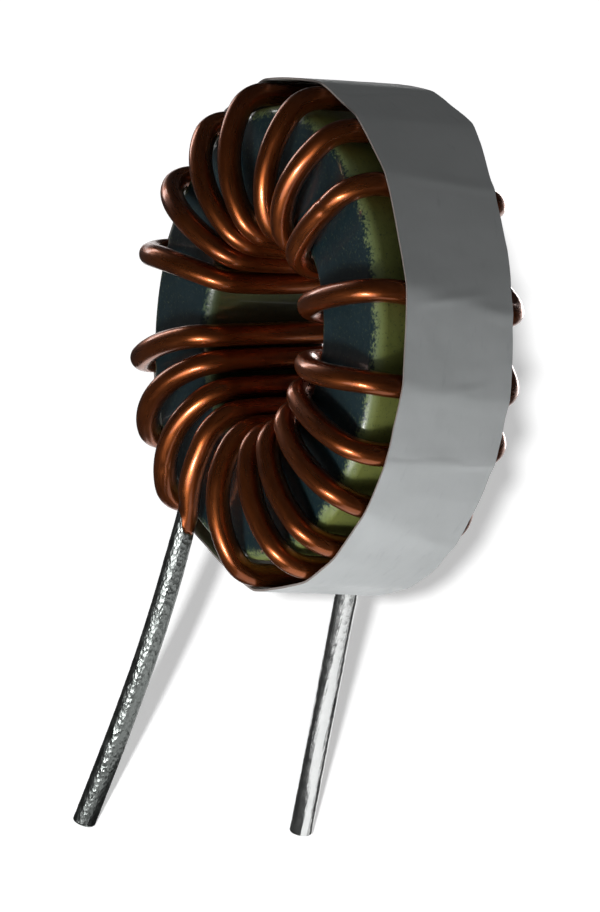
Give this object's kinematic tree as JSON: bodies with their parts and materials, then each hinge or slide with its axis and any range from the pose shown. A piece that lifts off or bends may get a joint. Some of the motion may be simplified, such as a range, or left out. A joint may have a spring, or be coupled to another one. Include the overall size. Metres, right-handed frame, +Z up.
{
  "type": "toroidal inductor",
  "caption": "Upright toroidal inductor: a coated iron ring wound with thick enamelled copper wire and wrapped in a film band, its wire ends running down as soldered leads.",
  "frame": {"origin": "on the circuit board's face, midway between the leads, under the ring's centre", "axes": "+Z up, away from the board; the leads point down along -Z; the ring's own axis lies along Y with its front face towards -Y"},
  "size_m": [0.0378, 0.0183, 0.0598],
  "materials": {
    "core_coat": "glossy two-tone coat, blue-green faces and olive sides",
    "enamelled_wire": "glossy brown enamel over copper",
    "solder": "bright, slightly lumpy dipped solder",
    "band_film": "satin white film, faintly creased"
  },
  "bodies": {
    "root": {"core": "core_coat", "winding": "enamelled_wire", "front_lead_solder": "solder", "rear_lead_solder": "solder", "band": "band_film"}
  },
  "joints": []
}
